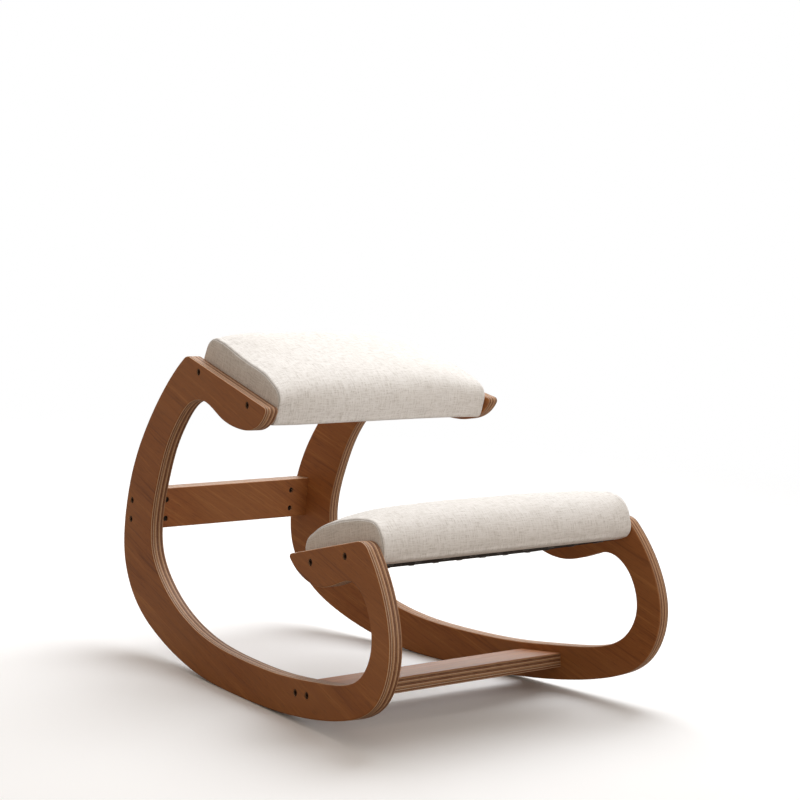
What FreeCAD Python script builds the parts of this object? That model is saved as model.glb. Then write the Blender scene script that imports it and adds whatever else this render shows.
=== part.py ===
# Rocking kneeling chair: two curved plywood side frames, toed in towards the
# rear, joined by a rear and a front stretcher, with a sloping seat pad and a
# sloping knee pad held between the arms of the frames.
#
# Frame of the model: millimetres, +Z up, X across the chair, the knee pad at
# the -Y end, origin on the floor below the middle of the bounding box.
import FreeCAD, Part
import os
import math
import Sketcher

V = FreeCAD.Vector
Rot = FreeCAD.Rotation
Pl = FreeCAD.Placement

doc = FreeCAD.newDocument("kneeling_chair")

# ---------------------------------------------------------------------------
# Driving dimensions
# ---------------------------------------------------------------------------
sheet = doc.addObject("Spreadsheet::Sheet", "Sheet")
DIMS = [
    # side frames
    ("frame_thickness", 20.0),      # plywood of the side frames
    ("splay_angle", 7.7565),        # toe-in of each frame, degrees
    ("outer_offset", 205.233),      # outer face plane from the centre, along its normal
    ("edge_radius", 2.0),           # round-over of the plywood edges
    ("shift_y", 1.263),             # profile origin from the model origin, along Y
    ("shift_z", 0.059),
    # fasteners
    ("bolt_diameter", 4.9),
    ("bolt_length", 50.0),
    ("bolt_head_diameter", 8.5),
    ("bolt_head_height", 5.0),
    ("bolt_socket_flats", 4.0),
    ("bolt_socket_depth", 2.8),
    ("bolt_hole_diameter", 5.5),
    ("counterbore_diameter", 9.6),
    ("counterbore_depth", 6.0),
    ("nut_diameter", 8.0),
    ("nut_length", 10.0),
    ("nut_bore_diameter", 5.0),
    ("nut_hole_diameter", 8.2),
    ("nut_distance", 51.5),         # outer face of the frame to the barrel nut
    ("nut_slot_width", 1.4),
    ("nut_slot_depth", 1.2),
    # rear stretcher
    ("rear_thickness", 20.0),
    ("rear_height", 57.0),
    ("rear_y", 306.5),
    ("rear_z", 195.0),
    ("rear_tilt", 1.5),
    ("rear_hole_s", 286.1),
    ("rear_hole_z", 193.3),
    ("rear_hole_pitch", 27.0),
    # front stretcher
    ("front_thickness", 20.0),
    ("front_width", 65.0),
    ("front_y", -146.5),
    ("front_z", 37.95),
    ("front_tilt", 5.65),
    ("front_hole_s", -175.5),
    ("front_hole_z", 38.8),
    ("front_hole_pitch", 26.7),
    # seat: origin on the line of the arms' top edge, at the arm tips
    ("seat_slope", 11.972),
    ("seat_tip_s", -54.6),
    ("seat_tip_z", 383.0),
    ("seat_board_top", -3.9),
    ("seat_board_thickness", 20.0),
    ("seat_board_front", 15.5),
    ("seat_board_rear", 197.5),
    ("seat_bolt_u1", 177.0),
    ("seat_bolt_u2", 45.6),
    ("seat_bolt_v", -11.4),
    ("seat_front", 3.0),
    ("seat_rear", 203.0),
    ("seat_top", 45.0),
    ("seat_edge_top", 31.0),
    ("seat_front_radius", 38.0),
    ("seat_rear_radius", 44.0),
    # knee pad: origin on the line of the knee arms' top edge, at their tips
    ("knee_slope", 16.249),
    ("knee_tip_s", -126.2),
    ("knee_tip_z", 208.5),
    ("knee_board_top", -10.0),
    ("knee_board_thickness", 20.0),
    ("knee_board_front", 169.5),
    ("knee_board_rear", 13.5),
    ("knee_bolt_u1", 50.4),
    ("knee_bolt_u2", 128.9),
    ("knee_bolt_v", -15.5),
    ("knee_front", 182.0),
    ("knee_rear", 7.5),
    ("knee_top", 42.0),
    ("knee_edge_top", 28.5),
    ("knee_front_radius", 34.0),
    ("knee_rear_radius", 40.0),
    # upholstery
    ("cover_thickness", 1.5),
    ("cover_gap", 0.5),             # cover to the face of the frame
    ("cover_flange", 30.0),         # cover folded under the board
    ("dust_thickness", 0.8),
    ("dust_inset", 12.0),
    ("crown_half_width", 190.0),
]
for row, (alias, value) in enumerate(DIMS, 1):
    sheet.set("A%d" % row, alias)
    sheet.set("B%d" % row, repr(value))
    sheet.setAlias("B%d" % row, alias)
doc.recompute()


def D(alias):
    return float(getattr(sheet, alias))


PHI = math.radians(D("splay_angle"))
T = D("frame_thickness")
OFF = D("outer_offset")
Y0 = D("shift_y")
Z0 = D("shift_z")


def bind(obj, prop, expression):
    obj.setExpression(prop, expression)


def plane(body, role):
    for feature in body.Origin.OriginFeatures:
        if feature.Role == role:
            return feature
    raise RuntimeError(role)


def new_body(name):
    return doc.addObject("PartDesign::Body", name)


def new_sketch(body, name, role, offset=None):
    sk = body.newObject("Sketcher::SketchObject", name)
    sk.AttachmentSupport = [(plane(body, role), "")]
    sk.MapMode = "FlatFace"
    if offset is not None:
        sk.AttachmentOffset = Pl(V(0, 0, offset), Rot())
    return sk


# ---------------------------------------------------------------------------
# Outline of a side frame, in the plane of the frame: s rearwards, z up
# ---------------------------------------------------------------------------
OUTER_POLES = [
    (162.58, 422.42), (180.88, 408.20), (213.50, 375.71), (255.30, 320.27),
    (289.24, 259.68), (305.64, 192.43), (307.15, 121.09), (264.11, 62.77),
    (200.79, 32.58), (134.82, 12.59), (66.43, 0.80), (-2.81, -0.38),
    (-71.86, 0.42), (-141.03, 4.01), (-209.66, 13.24), (-276.46, 27.56),
    (-344.31, 54.14), (-368.83, 125.24), (-346.16, 192.73), (-318.90, 229.79),
    (-302.54, 246.36),
]
INNER_POLES = [
    (-128.95, 205.71), (-138.42, 196.06), (-161.42, 183.46), (-204.18, 177.30),
    (-239.22, 191.86), (-267.58, 204.11), (-288.34, 197.04), (-305.34, 181.94),
    (-318.30, 158.71), (-325.24, 126.36), (-306.50, 84.53), (-259.11, 68.45),
    (-198.83, 60.74), (-124.49, 50.62), (-37.13, 49.43), (50.91, 52.06),
    (127.97, 71.01), (185.80, 101.80), (228.31, 144.18), (229.35, 199.16),
    (215.93, 249.35), (199.99, 295.85), (174.62, 333.13), (144.43, 368.36),
    (97.73, 376.07), (58.42, 352.69), (17.45, 346.99), (-25.94, 347.52),
    (-49.03, 365.50), (-54.24, 381.71),
]
INNER_KNOTS = [0.03, 0.06, 0.095, 0.115, 0.13, 0.145, 0.165, 0.19, 0.22, 0.26,
               0.30, 0.36, 0.43, 0.50, 0.56, 0.61, 0.65, 0.69, 0.73, 0.77, 0.80,
               0.835, 0.87, 0.905, 0.935, 0.965]


def cubic(poles, inner_knots):
    curve = Part.BSplineCurve()
    knots = [0.0] + list(inner_knots) + [1.0]
    mults = [4] + [1] * len(inner_knots) + [4]
    curve.buildFromPolesMultsKnots([V(a, b, 0) for a, b in poles], mults, knots, False, 3)
    return curve


def tangent_arc(corner_on_line, direction, end, end_direction):
    """Arc that leaves a straight edge and runs into the end of a curve."""
    # X: where the edge meets the curve's end tangent
    p, u, q, w = corner_on_line, direction, end, end_direction
    det = u.x * (-w.y) + w.x * u.y
    k = ((q.x - p.x) * (-w.y) + w.x * (q.y - p.y)) / det
    x = V(p.x + k * u.x, p.y + k * u.y, 0)
    length = (q - x).Length
    return x, length


def frame_outline():
    arm_dir = V(math.cos(math.radians(D("seat_slope"))), math.sin(math.radians(D("seat_slope"))), 0)
    knee_dir = V(-math.cos(math.radians(D("knee_slope"))), math.sin(math.radians(D("knee_slope"))), 0)
    arm_tip = V(D("seat_tip_s"), D("seat_tip_z"), 0)
    knee_tip = V(D("knee_tip_s"), D("knee_tip_z"), 0)
    outer = cubic(OUTER_POLES, [i / 18.0 for i in range(1, 18)])
    inner = cubic(INNER_POLES, INNER_KNOTS)
    inner.segment(0.0022, 0.9962)
    o0, o1 = outer.StartPoint, outer.EndPoint
    i0, i1 = inner.StartPoint, inner.EndPoint

    def tangent(curve, at_end):
        t = curve.tangent(curve.LastParameter if at_end else curve.FirstParameter)[0]
        return V(t.x, t.y, 0).normalize()

    geometry = []
    ends = {}
    for key, tip, direction, point, tan in (
            ("rear", arm_tip, arm_dir, o0, tangent(outer, False)),
            ("knee", knee_tip, knee_dir, o1, tangent(outer, True)),
            ("knee_tip", knee_tip, knee_dir, i0, tangent(inner, False)),
            ("arm_tip", arm_tip, arm_dir, i1, tangent(inner, True))):
        x, length = tangent_arc(tip, direction, point, tan)
        # the arc meets the straight edge the same distance from the corner
        inward = -1.0 if key in ("rear", "knee") else 1.0
        on_line = x + direction * (inward * length)
        to_line = (on_line - x).normalize()
        to_curve = (point - x).normalize()
        half = to_line.getAngle(to_curve) / 2.0
        radius = length * math.tan(half)
        bis = (to_line + to_curve).normalize()
        centre = x + bis * (length / math.cos(half))
        mid = centre - bis * radius
        ends[key] = (on_line, mid, point, radius)
    a = ends["arm_tip"]; r = ends["rear"]; k = ends["knee"]; t = ends["knee_tip"]
    geometry.append(Part.LineSegment(a[0], r[0]))
    geometry.append(Part.Arc(r[0], r[1], r[2]))
    geometry.append(outer)
    geometry.append(Part.Arc(k[2], k[1], k[0]))
    geometry.append(Part.LineSegment(k[0], t[0]))
    geometry.append(Part.Arc(t[0], t[1], t[2]))
    geometry.append(inner)
    geometry.append(Part.Arc(a[2], a[1], a[0]))
    print("corner radii", [round(ends[n][3], 2) for n in ("rear", "knee", "knee_tip", "arm_tip")])
    return geometry


def seat_point(u, v):
    a = math.radians(D("seat_slope"))
    return (D("seat_tip_s") + u * math.cos(a) - v * math.sin(a),
            D("seat_tip_z") + u * math.sin(a) + v * math.cos(a))


def knee_point(u, v):
    a = math.radians(D("knee_slope"))
    return (D("knee_tip_s") - u * math.cos(a) + v * math.sin(a),
            D("knee_tip_z") + u * math.sin(a) + v * math.cos(a))


def hole_centres():
    tilt = math.radians(D("rear_tilt"))
    ft = math.radians(D("front_tilt"))
    hp, fp = D("rear_hole_pitch") / 2, D("front_hole_pitch") / 2
    return {
        "seat": [seat_point(D("seat_bolt_u1"), D("seat_bolt_v")),
                 seat_point(D("seat_bolt_u2"), D("seat_bolt_v"))],
        "knee": [knee_point(D("knee_bolt_u1"), D("knee_bolt_v")),
                 knee_point(D("knee_bolt_u2"), D("knee_bolt_v"))],
        "rear_stretcher": [(D("rear_hole_s") - hp * math.sin(tilt), D("rear_hole_z") + hp * math.cos(tilt)),
                           (D("rear_hole_s") + hp * math.sin(tilt), D("rear_hole_z") - hp * math.cos(tilt))],
        "front_stretcher": [(D("front_hole_s") + fp * math.cos(ft), D("front_hole_z") - fp * math.sin(ft)),
                            (D("front_hole_s") - fp * math.cos(ft), D("front_hole_z") + fp * math.sin(ft))],
    }


HOLES = hole_centres()
OUTLINE = frame_outline()


def circles(sk, diameter_alias):
    n = 0
    for group in ("seat", "knee", "rear_stretcher", "front_stretcher"):
        for s, z in HOLES[group]:
            g = sk.addGeometry(Part.Circle(V(s, z, 0), V(0, 0, 1), D(diameter_alias) / 2), False)
            c = sk.addConstraint(Sketcher.Constraint("Diameter", g, D(diameter_alias)))
            bind(sk, "Constraints[%d]" % c, "Sheet." + diameter_alias)
            n += 1
    return n


def side_frame(name, side):
    """side -1: the frame on the -X side; +1: the other one."""
    body = new_body(name)
    sk = new_sketch(body, name + "_outline", "YZ_Plane")
    for g in OUTLINE:
        sk.addGeometry(g, False)
    pad = body.newObject("PartDesign::Pad", name + "_board")
    pad.Profile = sk
    pad.Length = T
    bind(pad, "Length", "Sheet.frame_thickness")
    doc.recompute()
    edges = []
    for i, e in enumerate(pad.Shape.Edges, 1):
        if e.BoundBox.XLength < 1e-5:
            edges.append("Edge%d" % i)
    fillet = body.newObject("PartDesign::Fillet", name + "_round_over")
    fillet.Base = (pad, edges)
    fillet.Radius = D("edge_radius")
    bind(fillet, "Radius", "Sheet.edge_radius")
    doc.recompute()
    before = fillet.Shape.Volume
    # bolt holes, drilled square to the face
    hs = new_sketch(body, name + "_bolt_holes", "YZ_Plane")
    circles(hs, "bolt_hole_diameter")
    holes = body.newObject("PartDesign::Pocket", name + "_drilling")
    holes.Profile = hs
    holes.Type = 1
    holes.Midplane = True
    doc.recompute()
    mid = holes.Shape.Volume
    # counterbores from the outer face
    cs = new_sketch(body, name + "_counterbores", "YZ_Plane")
    if side > 0:
        cs.AttachmentOffset = Pl(V(0, 0, T), Rot())
        bind(cs, "AttachmentOffset.Base.z", "Sheet.frame_thickness")
    circles(cs, "counterbore_diameter")
    cb = body.newObject("PartDesign::Pocket", name + "_counterboring")
    cb.Profile = cs
    cb.Type = 0
    cb.Length = D("counterbore_depth")
    bind(cb, "Length", "Sheet.counterbore_depth")
    cb.Reversed = side < 0
    doc.recompute()
    after = cb.Shape.Volume
    bores = [sum(1 for f in cb.Shape.Faces if isinstance(f.Surface, Part.Cylinder)
                 and abs(f.Surface.Radius - D(a) / 2) < 1e-6)
             for a in ("bolt_hole_diameter", "counterbore_diameter")]
    print(name, "volume", round(before), round(before - mid), round(mid - after), "bores", bores)
    if before - mid < 1500 or mid - after < 1000 or bores != [8, 8]:
        raise RuntimeError(name + ": a pocket cut nothing")
    if side < 0:
        body.Placement = Pl(V(-OFF * math.cos(PHI), OFF * math.sin(PHI) + Y0, Z0), Rot(V(0, 0, -1), D("splay_angle")))
        bind(body, "Placement.Rotation.Angle", "Sheet.splay_angle * 1deg")
        bind(body, "Placement.Base.x", "-Sheet.outer_offset * cos(Sheet.splay_angle * 1deg)")
        bind(body, "Placement.Base.y", "Sheet.outer_offset * sin(Sheet.splay_angle * 1deg) + Sheet.shift_y")
    else:
        body.Placement = Pl(V((OFF - T) * math.cos(PHI), (OFF - T) * math.sin(PHI) + Y0, Z0), Rot(V(0, 0, 1), D("splay_angle")))
        bind(body, "Placement.Rotation.Angle", "Sheet.splay_angle * 1deg")
        bind(body, "Placement.Base.x", "(Sheet.outer_offset - Sheet.frame_thickness) * cos(Sheet.splay_angle * 1deg)")
        bind(body, "Placement.Base.y", "(Sheet.outer_offset - Sheet.frame_thickness) * sin(Sheet.splay_angle * 1deg) + Sheet.shift_y")
    bind(body, "Placement.Base.z", "Sheet.shift_z")
    body.Label = name
    return body


# ---------------------------------------------------------------------------
# Helpers for what lies between the frames
# ---------------------------------------------------------------------------
REACH = 450.0


def between(name, gap_expression):
    """Upright wedge that fills the space between the frames, less a gap."""
    w = doc.addObject("Part::Wedge", name)
    w.Ymin, w.Ymax = -REACH, REACH
    w.Zmin, w.Zmax = -60.0, 700.0
    w.Z2min, w.Z2max = -60.0, 700.0
    base = "(Sheet.outer_offset - Sheet.frame_thickness - (%s))" % gap_expression
    c = "cos(Sheet.splay_angle * 1deg)"
    s = "sin(Sheet.splay_angle * 1deg)"
    front = "((%s + (%g + Sheet.shift_y) * %s) / %s)" % (base, REACH, s, c)
    rear = "((%s - (%g - Sheet.shift_y) * %s) / %s)" % (base, REACH, s, c)
    bind(w, "Xmin", "-" + front)
    bind(w, "Xmax", front)
    bind(w, "X2min", "-" + rear)
    bind(w, "X2max", rear)
    return w


def common(name, *objects):
    c = doc.addObject("Part::MultiCommon", name)
    c.Shapes = list(objects)
    return c


def cut(name, base, tool):
    c = doc.addObject("Part::Cut", name)
    c.Base = base
    c.Tool = tool
    return c


def fuse(name, *objects):
    c = doc.addObject("Part::MultiFuse", name)
    c.Shapes = list(objects)
    return c


def tilted_box(name, origin, angle, u0, u1, v0, v1, half=280.0, flip=False):
    """Box bound to the sheet. Each limit is a number of the sheet with its
    expression. origin is (y, z); the u axis is +Y turned up by angle, or -Y
    turned up by angle if flip."""
    b = doc.addObject("Part::Box", name)
    b.Length = 2 * half
    bind(b, "Width", "(%s) - (%s)" % (u1[1], u0[1]))
    bind(b, "Height", "(%s) - (%s)" % (v1[1], v0[1]))
    rot = Rot(V(1, 0, 0), angle)
    if flip:
        rot = Rot(V(0, 0, 1), 180.0) * rot
    b.Placement = Pl(V(0, origin[0], origin[1]) + rot.multVec(V(-half, u0[0], v0[0])), rot)
    return b


# slope of each pad's plane in the Y-Z plane, a little steeper than along the
# toed-in frames, and where it passes the arm tips on the inner faces
def pad_plane(prefix, sign):
    slope = math.degrees(math.atan(math.tan(math.radians(D(prefix + "_slope"))) / math.cos(PHI)))
    y = (OFF - T) * math.sin(PHI) + math.cos(PHI) * D(prefix + "_tip_s") + Y0
    z = D(prefix + "_tip_z") + Z0
    return (y, z), slope


SEAT_O, SEAT_A = pad_plane("seat", 1)
KNEE_O, KNEE_A = pad_plane("knee", -1)
SEAT_R = Rot(V(1, 0, 0), SEAT_A)
KNEE_R = Rot(V(0, 0, 1), 180.0) * Rot(V(1, 0, 0), KNEE_A)


def rounded_polygon(points, radii):
    """Closed list of segments and arcs in the sketch plane."""
    n = len(points)
    starts, ends, arcs = [], [], []
    for i in range(n):
        p0, p, p1 = points[i - 1], points[i], points[(i + 1) % n]
        a = (p0 - p).normalize()
        b = (p1 - p).normalize()
        half = a.getAngle(b) / 2.0
        length = radii[i] / math.tan(half)
        q0, q1 = p + a * length, p + b * length
        bis = (a + b).normalize()
        centre = p + bis * (radii[i] / math.sin(half))
        arcs.append((q0, centre - bis * radii[i], q1))
    out = []
    for i in range(n):
        q0, m, q1 = arcs[i]
        out.append(Part.Arc(q0, m, q1))
        out.append(Part.LineSegment(q1, arcs[(i + 1) % n][0]))
    return out


def inset_polygon(points, inset):
    """Moves each edge of a clockwise or anticlockwise convex polygon inwards."""
    n = len(points)
    c = V(0, 0, 0)
    for p in points:
        c = c + p
    c = c * (1.0 / n)
    lines = []
    for i in range(n):
        p, q = points[i], points[(i + 1) % n]
        d = (q - p).normalize()
        nrm = V(-d.y, d.x, 0)
        if (c - p).dot(nrm) < 0:
            nrm = nrm * -1
        lines.append((p + nrm * inset, d))
    out = []
    for i in range(n):
        (p, u), (q, w) = lines[i - 1], lines[i]
        det = u.x * (-w.y) + w.x * u.y
        k = ((q.x - p.x) * (-w.y) + w.x * (q.y - p.y)) / det
        out.append(V(p.x + k * u.x, p.y + k * u.y, 0))
    return out


def pad_profile(prefix):
    """Side view of a finished pad: u from front to rear or rear to front."""
    low = D(prefix + "_board_top") - D(prefix + "_board_thickness") - D("cover_thickness")
    f, r, t = D(prefix + "_front"), D(prefix + "_rear"), D(prefix + "_top")
    sgn = 1.0 if r > f else -1.0
    pts = [V(f + 5.0 * sgn, low, 0), V(f - 1.0 * sgn, t, 0), V(r, t, 0), V(r, low, 0)]
    radii = [7.0, D(prefix + "_front_radius"), D(prefix + "_rear_radius"), 5.0]
    return pts, radii, low


def pad_solid(name, prefix, inset, gap_expression, floor=None):
    """Crowned pad: side view, plan between the frames and crown in common."""
    pts, radii, low = pad_profile(prefix)
    origin, rot = (SEAT_O, SEAT_R) if prefix == "seat" else (KNEE_O, KNEE_R)
    if inset:
        pts = inset_polygon(pts, inset)
        radii = [r - inset for r in radii]
    side = new_body(name + "_side_view")
    sk = new_sketch(side, name + "_side_sketch", "YZ_Plane")
    for g in rounded_polygon(pts, radii):
        sk.addGeometry(g, False)
    pad = side.newObject("PartDesign::Pad", name + "_side_pad")
    pad.Profile = sk
    pad.Length = 560.0
    pad.Midplane = True
    side.Placement = Pl(V(0, origin[0], origin[1]), rot)
    # crown across the width
    crown = new_body(name + "_crown")
    ck = new_sketch(crown, name + "_crown_sketch", "XZ_Plane")
    hw = D("crown_half_width") + (0 if prefix == "seat" else 38.0)
    top = D(prefix + "_top") - inset
    edge = D(prefix + "_edge_top") - inset
    rad = (hw * hw + (top - edge) ** 2) / (2 * (top - edge))
    side_z = top - rad + math.sqrt(rad * rad - 275.0 ** 2)
    a, m, b = V(-275, side_z, 0), V(0, top, 0), V(275, side_z, 0)
    ck.addGeometry(Part.Arc(a, m, b), False)
    ck.addGeometry(Part.LineSegment(b, V(275, -80, 0)), False)
    ck.addGeometry(Part.LineSegment(V(275, -80, 0), V(-275, -80, 0)), False)
    ck.addGeometry(Part.LineSegment(V(-275, -80, 0), a), False)
    cp = crown.newObject("PartDesign::Pad", name + "_crown_pad")
    cp.Profile = ck
    cp.Length = 900.0
    cp.Midplane = True
    crown.Placement = Pl(V(0, origin[0], origin[1]), rot)
    wedge = between(name + "_plan", gap_expression)
    c = common(name, side, crown, wedge)
    doc.recompute()
    return c


# ---------------------------------------------------------------------------
# Fasteners
# ---------------------------------------------------------------------------
def socket_bolt(name):
    """Bolt along +Z: the head's seat is at z = 0 and the shank above it."""
    shank = doc.addObject("Part::Cylinder", name + "_shank")
    bind(shank, "Radius", "Sheet.bolt_diameter / 2")
    bind(shank, "Height", "Sheet.bolt_length")
    head = doc.addObject("Part::Cylinder", name + "_head")
    bind(head, "Radius", "Sheet.bolt_head_diameter / 2")
    bind(head, "Height", "Sheet.bolt_head_height")
    bind(head, "Placement.Base.z", "-Sheet.bolt_head_height")
    both = fuse(name + "_blank", shank, head)
    hexa = doc.addObject("Part::Prism", name + "_socket")
    hexa.Polygon = 6
    bind(hexa, "Circumradius", "Sheet.bolt_socket_flats / sqrt(3)")
    bind(hexa, "Height", "Sheet.bolt_socket_depth")
    bind(hexa, "Placement.Base.z", "-Sheet.bolt_head_height")
    return cut(name, both, hexa)


def barrel_nut(name):
    """Barrel nut along +Z, centred, with its tapped bore along X."""
    barrel = doc.addObject("Part::Cylinder", name + "_barrel")
    bind(barrel, "Radius", "Sheet.nut_diameter / 2")
    bind(barrel, "Height", "Sheet.nut_length")
    bind(barrel, "Placement.Base.z", "-Sheet.nut_length / 2")
    bore = doc.addObject("Part::Cylinder", name + "_bore")
    bind(bore, "Radius", "Sheet.nut_bore_diameter / 2")
    bore.Height = 20.0
    bore.Placement = Pl(V(-10, 0, 0), Rot(V(0, 1, 0), 90.0))
    slot = doc.addObject("Part::Box", name + "_slot")
    slot.Length = 12.0
    bind(slot, "Width", "Sheet.nut_slot_width")
    bind(slot, "Height", "Sheet.nut_slot_depth + 1")
    slot.Placement = Pl(V(-6, -D("nut_slot_width") / 2, D("nut_length") / 2 - D("nut_slot_depth")), Rot())
    bind(slot, "Placement.Base.y", "-Sheet.nut_slot_width / 2")
    bind(slot, "Placement.Base.z", "Sheet.nut_length / 2 - Sheet.nut_slot_depth")
    return cut(name, cut(name + "_drilled", barrel, bore), slot)


def frame_axis(side):
    """Normal of a frame's outer face, pointing into the chair."""
    return V(math.cos(PHI), -math.sin(PHI), 0) if side < 0 else V(-math.cos(PHI), -math.sin(PHI), 0)


def outer_point(side, s, z):
    """Point (s, z) of the outline, on a frame's outer face."""
    n = frame_axis(side)
    along = V(math.sin(PHI), math.cos(PHI), 0) if side < 0 else V(-math.sin(PHI), math.cos(PHI), 0)
    return n * (-OFF) + along * s + V(0, Y0, z + Z0)


def oriented(point, z_dir, x_dir):
    """Placement whose Z axis is z_dir and whose X axis is near x_dir."""
    z = V(z_dir).normalize()
    x = V(x_dir)
    x = (x - z * x.dot(z)).normalize()
    y = z.cross(x)
    m = FreeCAD.Matrix(x.x, y.x, z.x, point.x,
                       x.y, y.y, z.y, point.y,
                       x.z, y.z, z.z, point.z,
                       0, 0, 0, 1)
    return Pl(m)


def group(name, master, placements):
    copies = []
    for i, pl in enumerate(placements, 1):
        link = doc.addObject("App::Link", "%s_%d" % (name, i))
        link.LinkedObject = master
        link.LinkTransform = False
        link.Placement = pl
        copies.append(link)
    comp = doc.addObject("Part::Compound", name)
    comp.Links = copies
    comp.Label = name
    return comp


bolt_master = socket_bolt("bolt_pattern")
nut_master = barrel_nut("nut_pattern")
doc.recompute()

NUT_FACE = {
    "seat": SEAT_R.multVec(V(0, 0, -1)),
    "knee": KNEE_R.multVec(V(0, 0, -1)),
    "rear_stretcher": V(0, -math.cos(math.radians(D("rear_tilt"))), math.sin(math.radians(D("rear_tilt"))) * -1),
    "front_stretcher": V(0, -math.sin(math.radians(D("front_tilt"))), -math.cos(math.radians(D("front_tilt")))),
}


def fastener_sets():
    bolts, nuts, tunnels, pits = {}, {}, {}, {}
    for grp, centres in HOLES.items():
        bolts[grp], nuts[grp], tunnels[grp], pits[grp] = [], [], [], []
        for side in (-1, 1):
            n = frame_axis(side)
            # the barrel nut's hole is drilled square to the bolt
            face = NUT_FACE[grp] - n * n.dot(NUT_FACE[grp])
            face.normalize()
            for s, z in centres:
                p = outer_point(side, s, z)
                bolts[grp].append(oriented(p + n * D("counterbore_depth"), n, V(0, 0, 1)))
                nuts[grp].append(oriented(p + n * D("nut_distance"), face, n))
                tunnels[grp].append((p, n))
                pits[grp].append((p + n * D("nut_distance"), face))
    return bolts, nuts, tunnels, pits


BOLTS, NUTS, TUNNELS, PITS = fastener_sets()


def drill(name, board, grp, nut_holes=True):
    """Bolt tunnels in the board's ends and the barrel nuts' holes in a face."""
    tools = []
    for i, (p, n) in enumerate(TUNNELS[grp], 1):
        t = doc.addObject("Part::Cylinder", "%s_tunnel_%d" % (name, i))
        bind(t, "Radius", "Sheet.bolt_hole_diameter / 2")
        t.Height = D("bolt_length") + D("counterbore_depth") + 3.0
        bind(t, "Height", "Sheet.bolt_length + Sheet.counterbore_depth + 3")
        t.Placement = oriented(p, n, V(0, 0, 1))
        tools.append(t)
    for i, (p, f) in enumerate(PITS[grp] if nut_holes else [], 1):
        t = doc.addObject("Part::Cylinder", "%s_nut_hole_%d" % (name, i))
        bind(t, "Radius", "Sheet.nut_hole_diameter / 2")
        t.Height = 40.0 + D("nut_length") / 2 + 0.2
        bind(t, "Height", "40 + Sheet.nut_length / 2 + 0.2")
        back = p - V(f) * (D("nut_length") / 2 + 0.2)
        t.Placement = oriented(back, f, V(1, 0, 0))
        tools.append(t)
    return cut(name, board, fuse(name + "_drills", *tools))


# ---------------------------------------------------------------------------
# The pieces
# ---------------------------------------------------------------------------
NODES = []

left = side_frame("side_frame_left", -1)
right = side_frame("side_frame_right", 1)
NODES += [left, right]

# rear stretcher: upright board between the back legs
rear_blank = doc.addObject("Part::Box", "rear_stretcher_blank")
rear_blank.Length = 560.0
bind(rear_blank, "Width", "Sheet.rear_thickness")
bind(rear_blank, "Height", "Sheet.rear_height")
rt = Rot(V(1, 0, 0), -D("rear_tilt"))
rear_rot = Rot(V(1, 0, 0), D("rear_tilt"))
rear_blank.Placement = Pl(V(0, D("rear_y") + Y0, D("rear_z") + Z0) +
                          rear_rot.multVec(V(-280, -D("rear_thickness") / 2, -D("rear_height") / 2)), rear_rot)
doc.recompute()
rear_fil = doc.addObject("Part::Fillet", "rear_stretcher_eased")
rear_fil.Base = rear_blank
rear_fil.Edges = [(i, 1.5, 1.5) for i, e in enumerate(rear_blank.Shape.Edges, 1) if e.BoundBox.XLength > 500]
rear_fit = common("rear_stretcher_fitted", rear_fil, between("rear_stretcher_plan", "0"))
rear = drill("rear_stretcher", rear_fit, "rear_stretcher")
rear.Label = "rear_stretcher"
NODES.append(rear)

# front stretcher: flat board between the runners
front_blank = doc.addObject("Part::Box", "front_stretcher_blank")
front_blank.Length = 560.0
bind(front_blank, "Width", "Sheet.front_width")
bind(front_blank, "Height", "Sheet.front_thickness")
front_rot = Rot(V(1, 0, 0), -D("front_tilt"))
front_blank.Placement = Pl(V(0, D("front_y") + Y0, D("front_z") + Z0) +
                           front_rot.multVec(V(-280, -D("front_width") / 2, -D("front_thickness") / 2)), front_rot)
doc.recompute()
front_fil = doc.addObject("Part::Fillet", "front_stretcher_eased")
front_fil.Base = front_blank
front_fil.Edges = [(i, 1.5, 1.5) for i, e in enumerate(front_blank.Shape.Edges, 1) if e.BoundBox.XLength > 500]
front_fit = common("front_stretcher_fitted", front_fil, between("front_stretcher_plan", "0"))
front = drill("front_stretcher", front_fit, "front_stretcher")
front.Label = "front_stretcher"
NODES.append(front)


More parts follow.
